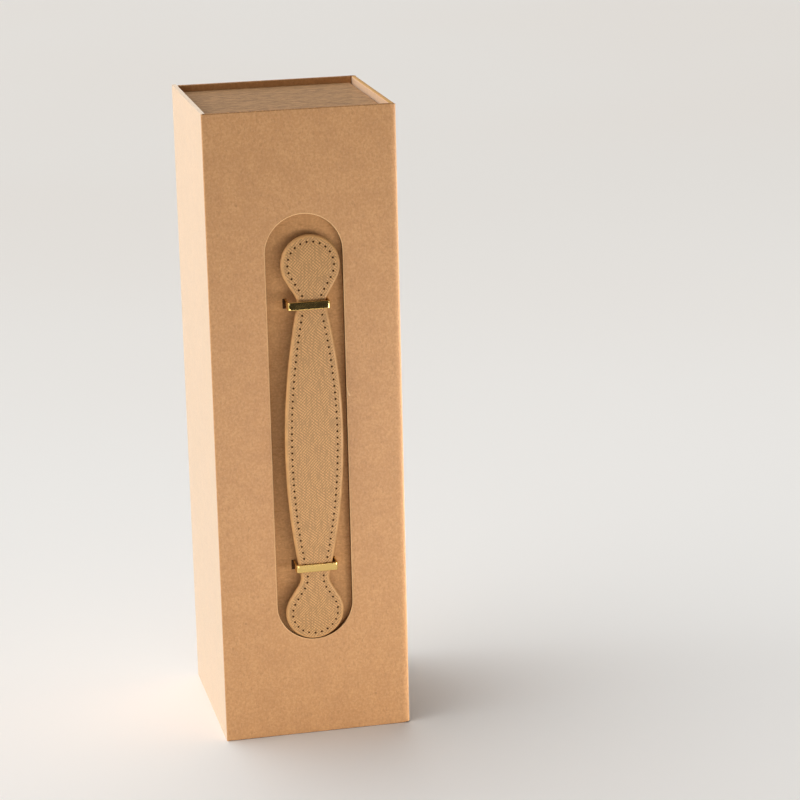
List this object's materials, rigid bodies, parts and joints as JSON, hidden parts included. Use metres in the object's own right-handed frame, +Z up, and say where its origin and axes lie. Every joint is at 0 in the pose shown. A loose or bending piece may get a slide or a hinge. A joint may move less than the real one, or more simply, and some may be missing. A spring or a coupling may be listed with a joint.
{
  "type": "wine gift box",
  "caption": "Tall book-style rigid gift box for one bottle, kraft paper over board, magnetic flap, and a stitched strap handle held by gold brackets in a front window.",
  "frame": {"origin": "middle of the footprint of box and handle, on the floor", "axes": "+X to the right across the front, +Y to the back, +Z up; the handle is on the -Y side"},
  "size_m": [0.104, 0.114, 0.35],
  "materials": {
    "grey_board": "raw grey board",
    "kraft_paper": "natural brown kraft, matt, faint fibre",
    "kraft_liner": "plain kraft liner, matt",
    "saddle_board": "brown board, matt",
    "stay_tape": "gummed paper tape",
    "gold_metal": "polished gold plating",
    "zinc_steel": "zinc-plated sheet",
    "magnet_plating": "nickel plating",
    "strap_leather": "fine cross grain, satin",
    "strap_backing": "smooth, matt",
    "padding": "felt",
    "thread": "waxed thread"
  },
  "bodies": {
    "case": {"base_board": "grey_board", "spine_board": "grey_board", "spine_liner": "kraft_liner", "case_wrap": "kraft_paper", "tray_floor": "grey_board", "tray_front_wall": "grey_board", "tray_back_wall": "grey_board", "tray_head_end": "grey_board", "tray_foot_end": "grey_board", "tray_wrap": "kraft_paper", "tray_lining": "kraft_liner", "tray_corner_stays": "stay_tape", "keeper_plates": "zinc_steel", "body_saddle": "saddle_board", "neck_saddle": "saddle_board", "upper_bracket": "gold_metal", "lower_bracket": "gold_metal", "upper_washer": "zinc_steel", "lower_washer": "zinc_steel"},
    "lid": {"lid_board": "grey_board", "lid_liner": "kraft_liner", "lid_wrap": "kraft_paper", "lid_fold_paper": "kraft_paper"},
    "flap": {"flap_board": "grey_board", "flap_liner": "kraft_liner", "flap_wrap": "kraft_paper", "flap_fold_paper": "kraft_paper", "flap_magnets": "magnet_plating"},
    "grip": {"grip_face": "strap_leather", "grip_lining": "strap_backing", "grip_filler": "padding", "grip_stitching": "thread"},
    "upper_end": {"upper_end_face": "strap_leather", "upper_end_lining": "strap_backing", "upper_end_stitching": "thread"},
    "lower_end": {"lower_end_face": "strap_leather", "lower_end_lining": "strap_backing", "lower_end_stitching": "thread"}
  },
  "joints": [
    {"name": "lid_hinge", "type": "hinge", "parent": "case", "child": "lid", "pos_m": [0.05, -0.04702, 0], "axis": [0, 0, -1], "range_deg": [0, 120], "deforming": ["lid_fold_paper"]},
    {"name": "flap_hinge", "type": "hinge", "parent": "lid", "child": "flap", "pos_m": [0.05, 0.05498, 0], "axis": [0, 0, -1], "range_deg": [0, 110], "deforming": ["flap_fold_paper"]},
    {"name": "handle_pull", "type": "slide", "parent": "case", "child": "grip", "axis": [0, -0.9927, 0.1208], "range_m": [0, 0.02317]},
    {"name": "upper_end_slide", "type": "slide", "parent": "grip", "child": "upper_end", "axis": [-0.0768, 0.9648, -0.2517], "range_m": [0, 0.02385]},
    {"name": "lower_end_slide", "type": "slide", "parent": "grip", "child": "lower_end", "axis": [0.0309, 0.9672, 0.2523], "range_m": [0, 0.02379]}
  ],
  "couplings": [
    {"joint": "upper_end_slide", "follows": "handle_pull", "ratio": 1.0289},
    {"joint": "lower_end_slide", "follows": "handle_pull", "ratio": 1.0264}
  ]
}
